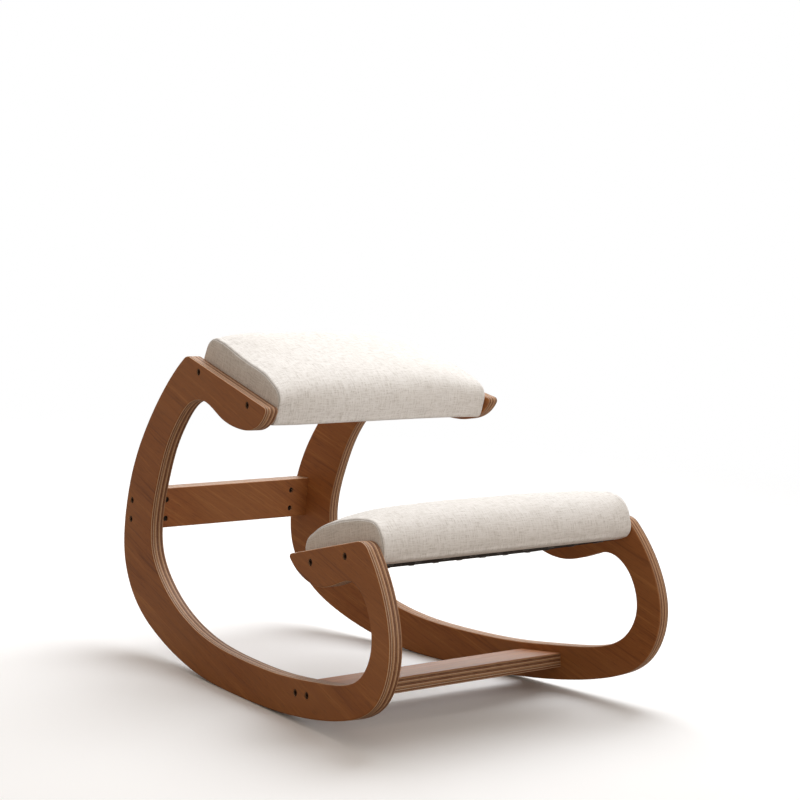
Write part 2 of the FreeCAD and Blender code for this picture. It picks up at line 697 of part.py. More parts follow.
def upholstery(prefix):
    origin, angle = (SEAT_O, SEAT_A) if prefix == "seat" else (KNEE_O, KNEE_A)
    flip = prefix == "knee"
    names = sorted((prefix + "_board_front", prefix + "_board_rear"), key=D)

    def at(number, expression):
        return number, expression

    lo = at(D(names[0]), "Sheet." + names[0])
    hi = at(D(names[1]), "Sheet." + names[1])
    top = at(D(prefix + "_board_top"), "Sheet.%s_board_top" % prefix)
    under = at(D(prefix + "_board_top") - D(prefix + "_board_thickness"),
               "Sheet.%s_board_top - Sheet.%s_board_thickness" % (prefix, prefix))

    def moved(limit, alias, sign):
        return limit[0] + sign * D(alias), "%s %s Sheet.%s" % (limit[1], "+" if sign > 0 else "-", alias)

    side_gap = "Sheet.cover_thickness + Sheet.cover_gap"
    # board
    raw = tilted_box(prefix + "_board_blank", origin, angle, lo, hi, under, top, flip=flip)
    plan = between(prefix + "_board_plan", side_gap)
    sized = common(prefix + "_board_sized", raw, plan)
    board = drill(prefix + "_base_board", sized, prefix)
    board.Label = prefix + "_base_board"
    # foam and cover
    outer = pad_solid(prefix + "_pad_outside", prefix, 0.0, "Sheet.cover_gap")
    inner = pad_solid(prefix + "_pad_inside", prefix, D("cover_thickness"), side_gap)
    foam = cut(prefix + "_foam_blank", inner, sized)
    # foam stands on the board and wraps over its ends, never under it
    below = tilted_box(prefix + "_below_board", origin, angle,
                       at(-400.0, "-400"), at(600.0, "600"), at(-300.0, "-300"), under, flip=flip)
    foam = cut(prefix + "_foam", foam, below)
    foam.Label = prefix + "_foam"
    shell = cut(prefix + "_cover_shell", outer, inner)
    win = tilted_box(prefix + "_window_blank", origin, angle,
                     moved(lo, "cover_flange", 1), moved(hi, "cover_flange", -1),
                     (under[0] - 20, under[1] + " - 20"), (under[0] + 10, under[1] + " + 10"), flip=flip)
    window = common(prefix + "_window", win, between(prefix + "_window_plan", "Sheet.cover_flange"))
    opened = cut(prefix + "_cover_opened", shell, window)
    # the bolts pass through the cover's sides
    cover = drill(prefix + "_cover", opened, prefix, nut_holes=False)
    cover.Label = prefix + "_cover"
    # black cloth over the underside
    skin = moved(under, "cover_thickness", -1)
    cloth = tilted_box(prefix + "_dust_blank", origin, angle,
                       moved(lo, "dust_inset", 1), moved(hi, "dust_inset", -1),
                       moved(skin, "dust_thickness", -1), skin, flip=flip)
    dust = common(prefix + "_dust_cover", cloth, between(prefix + "_dust_plan", "Sheet.dust_inset"))
    dust.Label = prefix + "_dust_cover"
    return [board, foam, cover, dust]


NODES += upholstery("seat")
NODES += upholstery("knee")

for grp in ("seat", "knee", "rear_stretcher", "front_stretcher"):
    NODES.append(group(grp + "_bolts", bolt_master, BOLTS[grp]))
    NODES.append(group(grp + "_barrel_nuts", nut_master, NUTS[grp]))

doc.recompute()

# ---------------------------------------------------------------------------
# Checks and export
# ---------------------------------------------------------------------------
bad = [o.Name for o in doc.Objects if "Invalid" in o.State or "Error" in o.State]
if bad:
    raise RuntimeError("objects with errors: " + ", ".join(bad))

os.makedirs("parts", exist_ok=True)
for old in os.listdir("parts"):
    if old.endswith(".step"):
        os.remove(os.path.join("parts", old))
box = FreeCAD.BoundBox()
for node in NODES:
    shape = Part.getShape(node)
    if shape.isNull() or not shape.isValid():
        raise RuntimeError(node.Label + ": shape is null or not valid")
    if not shape.Solids:
        raise RuntimeError(node.Label + ": no solid")
    bb = shape.optimalBoundingBox(False, False)
    box.add(bb)
    print("%-28s solids %d volume %10.1f  x %7.1f %7.1f  y %7.1f %7.1f  z %7.1f %7.1f" % (
        node.Label, len(shape.Solids), shape.Volume,
        bb.XMin, bb.XMax, bb.YMin, bb.YMax, bb.ZMin, bb.ZMax))
    shape.exportStep(os.path.join("parts", node.Label + ".step"))
print("box x %.3f %.3f  y %.3f %.3f  z %.3f %.3f" % (box.XMin, box.XMax, box.YMin, box.YMax, box.ZMin, box.ZMax))
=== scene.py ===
import bpy
import math
import random
import numpy as np
from mathutils import Vector, Matrix


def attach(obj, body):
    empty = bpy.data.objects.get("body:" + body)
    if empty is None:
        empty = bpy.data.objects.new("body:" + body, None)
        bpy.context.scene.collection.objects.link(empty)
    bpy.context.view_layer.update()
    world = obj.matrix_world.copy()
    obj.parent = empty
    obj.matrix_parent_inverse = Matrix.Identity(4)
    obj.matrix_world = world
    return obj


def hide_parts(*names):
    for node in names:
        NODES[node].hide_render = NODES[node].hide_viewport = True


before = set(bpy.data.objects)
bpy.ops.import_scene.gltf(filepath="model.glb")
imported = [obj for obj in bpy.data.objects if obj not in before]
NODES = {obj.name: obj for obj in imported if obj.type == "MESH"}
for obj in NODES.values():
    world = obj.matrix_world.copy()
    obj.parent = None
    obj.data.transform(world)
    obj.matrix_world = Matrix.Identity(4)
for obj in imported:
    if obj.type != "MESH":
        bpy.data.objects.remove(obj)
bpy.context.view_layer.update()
SCENE = bpy.context.scene
random.seed(7)
RNG = np.random.default_rng(7)

# ---------------------------------------------------------------------------
# The chair's own geometry, in metres
# ---------------------------------------------------------------------------
PHI = math.radians(7.7565)          # toe-in of each side frame
OFF = 0.205233                      # outer face plane from the middle, along its normal
T = 0.020                           # plywood
Y0 = 0.001263
Z0 = 0.000059
SEAT_SLOPE = math.radians(11.972)
KNEE_SLOPE = math.radians(16.249)


def pad_frame(slope, tip_s, tip_z):
    a = math.atan(math.tan(slope) / math.cos(PHI))
    y = (OFF - T) * math.sin(PHI) + math.cos(PHI) * tip_s + Y0
    return y, tip_z + Z0, a


SEAT = pad_frame(SEAT_SLOPE, -0.0546, 0.3830)
KNEE = pad_frame(KNEE_SLOPE, -0.1262, 0.2085)


def to_yz(which, u, v):
    """Pad coordinates (u along the pad, v up) to y and z. The knee pad's u runs forward."""
    oy, oz, a = SEAT if which == "seat" else KNEE
    sgn = 1.0 if which == "seat" else -1.0
    return (oy + sgn * (u * math.cos(a) - v * math.sin(a)),
            oz + u * math.sin(a) + v * math.cos(a))


def half_gap(y, gap):
    """Half the width between the side frames at y, less a gap."""
    return (OFF - T - gap - math.sin(PHI) * (y - Y0)) / math.cos(PHI)


# ---------------------------------------------------------------------------
# Node helpers
# ---------------------------------------------------------------------------
class Nodes:
    def __init__(self, name):
        self.mat = bpy.data.materials.new(name)
        self.mat.use_nodes = True
        self.tree = self.mat.node_tree
        self.tree.nodes.clear()
        self.out = self.tree.nodes.new("ShaderNodeOutputMaterial")
        self.bsdf = self.tree.nodes.new("ShaderNodeBsdfPrincipled")
        self.tree.links.new(self.bsdf.outputs[0], self.out.inputs[0])

    def link(self, a, b):
        self.tree.links.new(a, b)

    def put(self, socket, value):
        if isinstance(value, bpy.types.NodeSocket):
            self.link(value, socket)
        elif value is not None:
            socket.default_value = value

    def math(self, op, a, b=None, c=None, clamp=False):
        n = self.tree.nodes.new("ShaderNodeMath")
        n.operation = op
        n.use_clamp = clamp
        self.put(n.inputs[0], a)
        if b is not None:
            self.put(n.inputs[1], b)
        if c is not None:
            self.put(n.inputs[2], c)
        return n.outputs[0]

    def dot(self, v, w):
        n = self.tree.nodes.new("ShaderNodeVectorMath")
        n.operation = "DOT_PRODUCT"
        self.put(n.inputs[0], v)
        self.put(n.inputs[1], w)
        return n.outputs["Value"]

    def vec(self, x, y, z):
        n = self.tree.nodes.new("ShaderNodeCombineXYZ")
        self.put(n.inputs[0], x)
        self.put(n.inputs[1], y)
        self.put(n.inputs[2], z)
        return n.outputs[0]

    def split(self, v):
        n = self.tree.nodes.new("ShaderNodeSeparateXYZ")
        self.put(n.inputs[0], v)
        return n.outputs

    def place(self):
        return self.tree.nodes.new("ShaderNodeTexCoord").outputs["Object"]

    def uv(self, name):
        n = self.tree.nodes.new("ShaderNodeUVMap")
        n.uv_map = name
        return n.outputs[0]

    def noise(self, v, scale=1.0, detail=3.0, rough=0.55, distort=0.0, dims="3D"):
        n = self.tree.nodes.new("ShaderNodeTexNoise")
        n.noise_dimensions = dims
        self.put(n.inputs["Vector"], v)
        n.inputs["Scale"].default_value = scale
        n.inputs["Detail"].default_value = detail
        n.inputs["Roughness"].default_value = rough
        n.inputs["Distortion"].default_value = distort
        return n.outputs["Fac"]

    def ramp(self, fac, stops, mode="LINEAR"):
        n = self.tree.nodes.new("ShaderNodeValToRGB")
        n.color_ramp.interpolation = mode
        e = n.color_ramp.elements
        while len(e) < len(stops):
            e.new(0.5)
        for el, (p, c) in zip(e, stops):
            el.position = p
            el.color = (c[0], c[1], c[2], 1.0) if isinstance(c, (tuple, list)) else (c, c, c, 1.0)
        self.put(n.inputs[0], fac)
        return n.outputs[0]

    def mix(self, fac, a, b, mode="MIX"):
        n = self.tree.nodes.new("ShaderNodeMix")
        n.data_type = "RGBA"
        n.blend_type = mode
        n.clamp_factor = True
        self.put(n.inputs[0], fac)
        for s, v in ((n.inputs[6], a), (n.inputs[7], b)):
            if isinstance(v, (tuple, list)):
                v = (v[0], v[1], v[2], 1.0)
            self.put(s, v)
        return n.outputs[2]

    def maprange(self, v, a, b, c=0.0, d=1.0, smooth=False):
        n = self.tree.nodes.new("ShaderNodeMapRange")
        n.interpolation_type = "SMOOTHSTEP" if smooth else "LINEAR"
        self.put(n.inputs[0], v)
        for i, x in enumerate((a, b, c, d), 1):
            n.inputs[i].default_value = x
        return n.outputs[0]

    def bump(self, height, strength, distance, normal=None):
        n = self.tree.nodes.new("ShaderNodeBump")
        n.inputs["Strength"].default_value = strength
        n.inputs["Distance"].default_value = distance
        self.put(n.inputs["Height"], height)
        if normal is not None:
            self.put(n.inputs["Normal"], normal)
        return n.outputs[0]


# ---------------------------------------------------------------------------
# Materials
# ---------------------------------------------------------------------------
FACE_DARK = (0.215, 0.067, 0.0130)
FACE_MID = (0.335, 0.114, 0.0255)
FACE_LIGHT = (0.440, 0.176, 0.0480)
PLY_LIGHT = (0.400, 0.228, 0.118)
PLY_DARK = (0.150, 0.066, 0.030)


# the bands of the edge: share of the thickness where each ends, and its colour
PB_LINE = (0.780, 0.545, 0.360)
PB_TAN = (0.400, 0.205, 0.095)
PB_BROWN = (0.210, 0.078, 0.026)
PB_DARK = (0.030, 0.011, 0.005)
PLY_BANDS = [(0.035, FACE_MID), (0.070, PB_LINE), (0.185, PB_BROWN), (0.225, PB_LINE), (0.262, PB_DARK),
             (0.385, PB_TAN), (0.425, PB_LINE), (0.545, PB_BROWN), (0.582, PB_DARK), (0.690, PB_TAN),
             (0.725, PB_LINE), (0.840, PB_BROWN), (0.878, PB_DARK), (0.965, PB_TAN), (1.0, FACE_MID)]


def plywood(name, normal, start, thickness, grain, seed=0.0, flip=False, tone=1.0):
    """Stained plywood as a solid: the veneer on both faces, alternate long-grain
    and cross-grain plies between them. normal points from one face to the
    other, start is that face's distance along it; grain is the direction of the
    face grain."""
    m = Nodes(name)
    n = Vector(normal).normalized()
    g = Vector(grain)
    g = (g - n * g.dot(n)).normalized()
    c = n.cross(g)
    p = m.place()
    d = m.math("SUBTRACT", m.dot(p, tuple(n)), start)          # depth, metres
    a = m.dot(p, tuple(g))
    b = m.dot(p, tuple(c))
    # ---- the veneer ----
    warp = m.noise(m.vec(m.math("MULTIPLY", a, 2.2), m.math("MULTIPLY", b, 7.0), seed), 1.0, 2.0, 0.5)
    bw = m.math("ADD", b, m.math("MULTIPLY", warp, 0.055))
    broad = m.noise(m.vec(m.math("MULTIPLY", a, 3.0), m.math("MULTIPLY", bw, 38.0), seed + 3.1), 1.0, 3.0, 0.55)
    rings = m.noise(m.vec(m.math("MULTIPLY", a, 2.0), m.math("MULTIPLY", bw, 140.0), seed + 9.7), 1.0, 2.0, 0.6)
    fine = m.noise(m.vec(m.math("MULTIPLY", a, 14.0), m.math("MULTIPLY", b, 620.0), seed + 5.3), 1.0, 3.0, 0.6)
    pores = m.noise(m.vec(m.math("MULTIPLY", a, 60.0), m.math("MULTIPLY", b, 1500.0), seed + 1.3), 1.0, 2.0, 0.5)
    mixed = m.math("ADD", m.math("MULTIPLY", broad, 0.30), m.math("MULTIPLY", rings, 0.34))
    mixed = m.math("ADD", mixed, m.math("MULTIPLY", fine, 0.36))
    face = m.ramp(mixed, [(0.385, FACE_DARK), (0.470, FACE_MID), (0.525, FACE_MID), (0.610, FACE_LIGHT)])
    dark_pore = m.maprange(pores, 0.41, 0.33, 0.0, 0.50)
    face = m.mix(dark_pore, face, (0.085, 0.030, 0.009))
    # clouded stain, a little darker here and there
    cloud = m.noise(m.vec(m.math("MULTIPLY", a, 5.0), m.math("MULTIPLY", b, 9.0), seed + 2.2), 1.0, 2.0, 0.5)
    face = m.mix(m.maprange(cloud, 0.35, 0.70, 0.0, 0.35), face, (0.400, 0.175, 0.062))
    # ---- the plies on the edges ----
    wob = m.noise(m.vec(m.math("MULTIPLY", a, 22.0), m.math("MULTIPLY", b, 22.0), seed + 4.0), 1.0, 2.0, 0.5)
    dw = m.math("ADD", d, m.math("MULTIPLY", m.math("SUBTRACT", wob, 0.5), 0.0006))
    part = m.math("DIVIDE", dw, thickness)
    if flip:
        part = m.math("SUBTRACT", 1.0, part)
    along = m.noise(m.vec(m.math("MULTIPLY", a, 90.0), m.math("MULTIPLY", b, 90.0), m.math("MULTIPLY", d, 260.0)), 1.0, 4.0, 0.65)
    fleck = m.noise(m.vec(m.math("MULTIPLY", a, 700.0), m.math("MULTIPLY", b, 700.0), m.math("MULTIPLY", d, 2400.0)), 1.0, 2.0, 0.5)
    # share of the thickness where each band ends, and its colour
    stops = []
    begin = 0.0
    for end, col in PLY_BANDS:
        stops.append((begin + 0.004, col))
        stops.append((end - 0.004, col))
        begin = end
    ply = m.ramp(part, stops)
    ply = m.mix(m.maprange(along, 0.42, 0.62, 0.0, 0.20), ply, (0.480, 0.280, 0.150))
    ply = m.mix(m.maprange(fleck, 0.50, 0.38, 0.0, 0.35), ply, (0.075, 0.028, 0.010))
    lum = m.tree.nodes.new("ShaderNodeRGBToBW")
    m.link(ply, lum.inputs[0])
    dark = m.maprange(lum.outputs[0], 0.20, 0.06, 0.0, 1.0)
    # ---- which of the two shows: the veneer is 0.7 mm thick ----
    rim = m.math("MINIMUM", d, m.math("SUBTRACT", thickness, d))
    inside = m.maprange(rim, 0.00045, 0.00085, 0.0, 1.0, True)
    colour = m.mix(inside, face, ply)
    # edges take a little more stain than raw plies would
    colour = m.mix(m.math("MULTIPLY", inside, 0.05), colour, (0.20, 0.095, 0.045))
    if tone != 1.0:
        colour = m.mix(1.0, colour, (tone, tone, tone), "MULTIPLY")
    m.link(colour, m.bsdf.inputs["Base Color"])
    rough = m.math("ADD", m.maprange(fine, 0.3, 0.7, 0.46, 0.58), m.math("MULTIPLY", inside, 0.12))
    m.link(rough, m.bsdf.inputs["Roughness"])
    m.bsdf.inputs["Specular IOR Level"].default_value = 0.40
    m.bsdf.inputs["Coat Weight"].default_value = 0.12
    m.bsdf.inputs["Coat Roughness"].default_value = 0.35
    grain_h = m.math("ADD", m.math("MULTIPLY", fine, 0.5), m.math("MULTIPLY", pores, 0.5))
    grain_h = m.math("MULTIPLY", grain_h, m.math("SUBTRACT", 1.0, m.math("MULTIPLY", inside, 0.6)))
    ply_h = m.math("MULTIPLY", m.math("SUBTRACT", 1.0, dark), inside)
    h = m.math("ADD", grain_h, m.math("MULTIPLY", ply_h, 0.7))
    m.link(m.bump(h, 0.35, 0.00025), m.bsdf.inputs["Normal"])
    return m.mat


def linen():
    m = Nodes("linen_weave")
    uv = m.uv("weave")
    ax, by, _ = m.split(uv)
    p = m.place()
    drift = m.noise(p, 26.0, 2.0, 0.5)
    a = m.math("ADD", m.math("MULTIPLY", ax, 1050.0), m.math("MULTIPLY", drift, 1.6))
    b = m.math("ADD", m.math("MULTIPLY", by, 1050.0), m.math("MULTIPLY", drift, -1.3))
    fa, fb = m.math("FRACT", a), m.math("FRACT", b)
    sa = m.math("SINE", m.math("MULTIPLY", fa, math.pi))
    sb = m.math("SINE", m.math("MULTIPLY", fb, math.pi))
    par = m.math("FRACT", m.math("MULTIPLY", m.math("ADD", m.math("FLOOR", a), m.math("FLOOR", b)), 0.5))
    over = m.math("GREATER_THAN", par, 0.25)
    warp = m.math("MULTIPLY", sa, m.math("ADD", 0.62, m.math("MULTIPLY", sb, 0.38)))
    weft = m.math("MULTIPLY", sb, m.math("ADD", 0.62, m.math("MULTIPLY", sa, 0.38)))
    thread = m.math("ADD", m.math("MULTIPLY", warp, over), m.math("MULTIPLY", weft, m.math("SUBTRACT", 1.0, over)))
    # slubs: thick and thin places along the threads of both directions
    s1 = m.noise(m.vec(m.math("MULTIPLY", ax, 95.0), m.math("MULTIPLY", by, 900.0), 0.0), 1.0, 3.0, 0.62)
    s2 = m.noise(m.vec(m.math("MULTIPLY", ax, 900.0), m.math("MULTIPLY", by, 95.0), 4.0), 1.0, 3.0, 0.62)
    big1 = m.noise(m.vec(m.math("MULTIPLY", ax, 45.0), m.math("MULTIPLY", by, 480.0), 8.0), 1.0, 2.0, 0.5)
    big2 = m.noise(m.vec(m.math("MULTIPLY", ax, 480.0), m.math("MULTIPLY", by, 45.0), 12.0), 1.0, 2.0, 0.5)
    slub = m.math("ADD", m.math("MULTIPLY", m.math("MAXIMUM", s1, s2), 0.62),
                  m.math("MULTIPLY", m.math("MAXIMUM", big1, big2), 0.38))
    low = m.math("ADD", m.math("MULTIPLY", m.math("MINIMUM", s1, s2), 0.6),
                 m.math("MULTIPLY", m.math("MINIMUM", big1, big2), 0.4))
    base = m.ramp(slub, [(0.455, (0.695, 0.684, 0.662)), (0.535, (0.855, 0.852, 0.840)), (0.640, (0.945, 0.946, 0.942))])
    base = m.mix(m.maprange(low, 0.44, 0.34, 0.0, 0.38), base, (0.430, 0.410, 0.380))
    base = m.mix(m.maprange(thread, 0.45, 0.05, 0.0, 0.36), base, (0.430, 0.405, 0.370))
    # painted shade: the colour darkens along the sewn line, standing in for the shadow in its groove
    seam_shade = m.tree.nodes.new("ShaderNodeAttribute")
    seam_shade.attribute_name = "seam_distance"
    base = m.mix(m.maprange(m.math("ABSOLUTE", seam_shade.outputs["Fac"]), 0.0004, 0.0016, 0.60, 0.0, True), base, (0.230, 0.200, 0.170))
    tone = m.noise(p, 7.0, 2.0, 0.5)
    base = m.mix(m.maprange(tone, 0.35, 0.65, 0.0, 0.12), base, (0.80, 0.77, 0.72))
    m.link(base, m.bsdf.inputs["Base Color"])
    m.bsdf.inputs["Roughness"].default_value = 0.88
    m.bsdf.inputs["Specular IOR Level"].default_value = 0.22
    m.bsdf.inputs["Sheen Weight"].default_value = 0.18
    m.bsdf.inputs["Sheen Roughness"].default_value = 0.5
    h = m.math("ADD", m.math("MULTIPLY", thread, 0.55), m.math("MULTIPLY", slub, 0.9))
    m.link(m.bump(h, 0.55, 0.00045), m.bsdf.inputs["Normal"])
    return m.mat


def dust_cloth():
    m = Nodes("black_nonwoven")
    p = m.place()
    fibre = m.noise(p, 900.0, 4.0, 0.7)
    dots = m.tree.nodes.new("ShaderNodeTexVoronoi")
    m.link(p, dots.inputs["Vector"])
    dots.inputs["Scale"].default_value = 420.0
    dist = dots.outputs["Distance"]
    col = m.ramp(fibre, [(0.35, (0.006, 0.006, 0.007)), (0.65, (0.026, 0.026, 0.028))])
    m.link(col, m.bsdf.inputs["Base Color"])
    m.bsdf.inputs["Roughness"].default_value = 0.9
    m.bsdf.inputs["Specular IOR Level"].default_value = 0.25
    h = m.math("ADD", m.math("MULTIPLY", fibre, 0.5), m.maprange(dist, 0.0, 0.4, -0.6, 0.0))
    m.link(m.bump(h, 0.4, 0.0003), m.bsdf.inputs["Normal"])
    return m.mat


def steel(name, dark, light, rough):
    m = Nodes(name)
    p = m.place()
    n1 = m.noise(p, 260.0, 3.0, 0.6)
    n2 = m.noise(p, 1800.0, 2.0, 0.5)
    m.link(m.ramp(n1, [(0.35, dark), (0.68, light)]), m.bsdf.inputs["Base Color"])
    m.bsdf.inputs["Metallic"].default_value = 0.85
    m.link(m.maprange(n1, 0.3, 0.7, rough - 0.08, rough + 0.10), m.bsdf.inputs["Roughness"])
    m.link(m.bump(n2, 0.15, 0.0001), m.bsdf.inputs["Normal"])
    return m.mat


def assign(obj, mat):
    obj.data.materials.clear()
    obj.data.materials.append(mat)


N_LEFT = (math.cos(PHI), -math.sin(PHI), 0.0)       # into the chair
N_RIGHT = (-math.cos(PHI), -math.sin(PHI), 0.0)
A_LEFT = Vector((math.sin(PHI), math.cos(PHI), 0.0))
A_RIGHT = Vector((-math.sin(PHI), math.cos(PHI), 0.0))
GRAIN = math.radians(17.0)


def face_start(n):
    # the outer face passes the point n * -OFF + (0, Y0, 0)
    return -OFF + n[1] * Y0


def frame_grain(a, angle):
    return tuple(a * math.cos(angle) + Vector((0, 0, 1)) * math.sin(angle))


PLY_L = plywood("ply_side_frame_left", N_LEFT, face_start(N_LEFT), T, frame_grain(A_LEFT, GRAIN), 0.0)
PLY_R = plywood("ply_side_frame_right", N_RIGHT, face_start(N_RIGHT), T, frame_grain(A_RIGHT, GRAIN + 0.06), 17.0)
RT = math.radians(1.5)
n_rear = Vector((0.0, math.cos(RT), math.sin(RT)))
rear_mid = Vector((0.0, 0.3065 + Y0, 0.195 + Z0))
PLY_REAR = plywood("ply_rear_stretcher", n_rear, rear_mid.dot(n_rear) - T / 2, T, (0.86, 0.0, -0.50), 31.0)
FT = math.radians(5.65)
n_front = Vector((0.0, math.sin(FT), math.cos(FT)))
front_mid = Vector((0.0, -0.1465 + Y0, 0.03795 + Z0))
PLY_FRONT = plywood("ply_front_stretcher", n_front, front_mid.dot(n_front) - T / 2, T, (1.0, 0.03, 0.0), 47.0)
_, _, sa = SEAT
n_seat = Vector((0.0, -math.sin(sa), math.cos(sa)))
PLY_BOARD = plywood("ply_boards", n_seat, 0.30, T, (1.0, 0.0, 0.0), 60.0)
LINEN = linen()
DUST = dust_cloth()
BOLT = steel("black_zinc_steel", (0.050, 0.025, 0.013), (0.120, 0.066, 0.038), 0.55)
NUT = steel("dark_zinc_steel", (0.024, 0.017, 0.012), (0.070, 0.054, 0.042), 0.50)
STAPLE = steel("staple_wire", (0.16, 0.155, 0.15), (0.30, 0.29, 0.28), 0.40)

assign(NODES["side_frame_left"], PLY_L)
assign(NODES["side_frame_right"], PLY_R)
assign(NODES["rear_stretcher"], PLY_REAR)
assign(NODES["front_stretcher"], PLY_FRONT)
assign(NODES["seat_base_board"], PLY_BOARD)
assign(NODES["knee_base_board"], PLY_BOARD)
for key in ("seat", "knee", "rear_stretcher", "front_stretcher"):
    assign(NODES[key + "_bolts"], BOLT)
    assign(NODES[key + "_barrel_nuts"], NUT)


# ---------------------------------------------------------------------------
# Cushions
# ---------------------------------------------------------------------------
def closed_spline(points, count):
    """Points along a smooth closed curve through the given ones, 24 to each span."""
    p = np.array(points, float)
    n = len(p)
    chord = np.linalg.norm(np.roll(p, -1, 0) - p, axis=1) ** 0.5
    knots = np.concatenate([[0.0], np.cumsum(chord)])
    out = []
    for i in range(n):
        p0, p1, p2, p3 = p[i - 1], p[i], p[(i + 1) % n], p[(i + 2) % n]
        d0, d1, d2 = chord[i - 1], chord[i], chord[(i + 1) % n]
        m1 = (p1 - p0) / d0 - (p2 - p0) / (d0 + d1) + (p2 - p1) / d1
        m2 = (p2 - p1) / d1 - (p3 - p1) / (d1 + d2) + (p3 - p2) / d2
        for k in range(24):
            t = k / 24.0
            h00, h10 = 2 * t ** 3 - 3 * t ** 2 + 1, t ** 3 - 2 * t ** 2 + t
            h01, h11 = -2 * t ** 3 + 3 * t ** 2, t ** 3 - t ** 2
            out.append(h00 * p1 + h10 * d1 * m1 + h01 * p2 + h11 * d1 * m2)
    return np.array(out)


def matched(points, count, keys):
    """The closed curve sampled so that the key points fall at fixed shares of the samples."""
    dense = closed_spline(points, count)
    n = len(points)
    idx = [k * 24 for k in keys] + [n * 24]
    dense = np.vstack([dense, dense[:1]])
    share = keys_share(points, keys)
    out = []
    for (i0, i1), m in zip(zip(idx[:-1], idx[1:]), share_counts(share, count)):
        seg = dense[i0:i1 + 1]
        ds = np.concatenate([[0], np.cumsum(np.linalg.norm(np.diff(seg, axis=0), axis=1))])
        at = np.linspace(0, ds[-1], m + 1)[:-1]
        out.append(np.stack([np.interp(at, ds, seg[:, 0]), np.interp(at, ds, seg[:, 1])], 1))
    return np.vstack(out)


def keys_share(points, keys):
    return KEY_SHARE[len(keys)]


def share_counts(share, count):
    c = [int(round(s * count)) for s in share]
    c[-1] += count - sum(c)
    return c


# shares of the loop: front face, top, rear face, underside
KEY_SHARE = {4: (0.14, 0.40, 0.12, 0.34)}

# Side views, (u, v) in millimetres, from the lower front edge up over the pad.
# MID is the section in the middle, SEAM the seam at the pad's side.
SEAT_MID = [(13.0, -28.8), (6.6, -25.0), (4.6, -9.0), (4.2, 3.5), (6.8, 15.0), (13.5, 24.0), (25.0, 31.0),
            (42.0, 36.2), (65.0, 39.8), (95.0, 42.8), (125.0, 45.0), (152.0, 45.8), (172.0, 45.0), (187.0, 41.6),
            (197.0, 34.0), (202.0, 22.0), (203.4, 8.0), (203.2, -8.0), (202.2, -20.0), (198.0, -25.2),
            (150.0, -25.4), (100.0, -25.4), (58.0, -25.4), (30.0, -27.6)]
SEAT_KEYS = (0, 5, 14, 19)
SEAT_SEAM_L = [(13.5, -28.0), (8.2, -24.0), (5.8, -9.0), (4.0, 1.5), (4.8, 10.8), (9.2, 17.2), (18.5, 22.0),
               (32.5, 26.2), (48.0, 29.2), (68.0, 30.6), (92.0, 30.6), (116.0, 31.4), (140.0, 33.6), (163.0, 34.6),
               (181.0, 33.0), (191.0, 28.0), (198.0, 19.0), (201.2, 6.0), (201.6, -12.0), (197.0, -25.0),
               (150.0, -25.2), (100.0, -25.2), (58.0, -25.2), (30.0, -27.0)]
SEAT_SEAM_KEYS = (0, 5, 15, 19)
SEAT_SEAM_R = [(13.5, -31.5), (8.8, -28.0), (7.4, -11.0), (8.0, -1.0), (10.4, 6.6), (15.0, 12.4), (23.0, 16.4),
               (36.0, 20.2), (52.0, 23.2), (72.0, 25.6), (96.0, 27.4), (120.0, 29.2), (144.0, 31.2), (165.0, 32.4),
               (181.0, 31.6), (191.0, 27.4), (197.8, 19.0), (201.0, 6.0), (201.6, -12.0), (197.0, -25.0),
               (150.0, -25.2), (100.0, -25.2), (58.0, -25.2), (30.0, -27.0)]
# the knee pad's u runs forward, so its loop starts at the lower rear edge
KNEE_MID = [(15.0, -30.3), (9.6, -25.0), (7.4, -13.0), (8.0, 0.0), (10.6, 12.0), (16.6, 22.4), (27.0, 31.2),
            (43.0, 38.4), (66.0, 43.6), (92.0, 45.6), (116.0, 45.0), (138.0, 41.8), (155.0, 36.0), (168.4, 27.2),
            (177.6, 15.6), (182.4, 2.0), (183.0, -9.0), (181.4, -20.0), (177.4, -26.6), (170.0, -30.2),
            (130.0, -30.5), (92.0, -30.5), (52.0, -30.5)]
KNEE_KEYS = (0, 5, 14, 19)
KNEE_SEAM_L = [(15.5, -30.0), (10.8, -25.0), (8.6, -14.0), (7.9, -1.5), (9.0, 7.6), (13.0, 13.8), (19.0, 17.9),
               (29.0, 21.6), (42.0, 25.6), (58.0, 28.4), (80.0, 29.9), (104.0, 30.1), (127.0, 28.9), (146.0, 26.6),
               (160.0, 23.2), (170.0, 18.2), (177.2, 9.0), (180.6, -3.0), (180.0, -17.0), (175.4, -26.4),
               (168.0, -30.0), (92.0, -30.2), (52.0, -30.2)]
KNEE_SEAM_R = [(15.5, -30.0), (10.8, -25.0), (8.6, -14.0), (7.9, -1.5), (9.0, 9.4), (13.0, 17.2), (19.0, 22.8),
               (29.0, 27.8), (42.0, 32.4), (58.0, 35.4), (80.0, 37.2), (104.0, 37.6), (127.0, 36.8), (146.0, 34.6),
               (161.0, 30.4), (171.4, 24.0), (178.6, 13.0), (181.2, -2.0), (180.6, -17.0), (175.6, -26.4),
               (168.0, -30.0), (92.0, -30.2), (52.0, -30.2)]
KNEE_SEAM_KEYS = (0, 5, 15, 20)


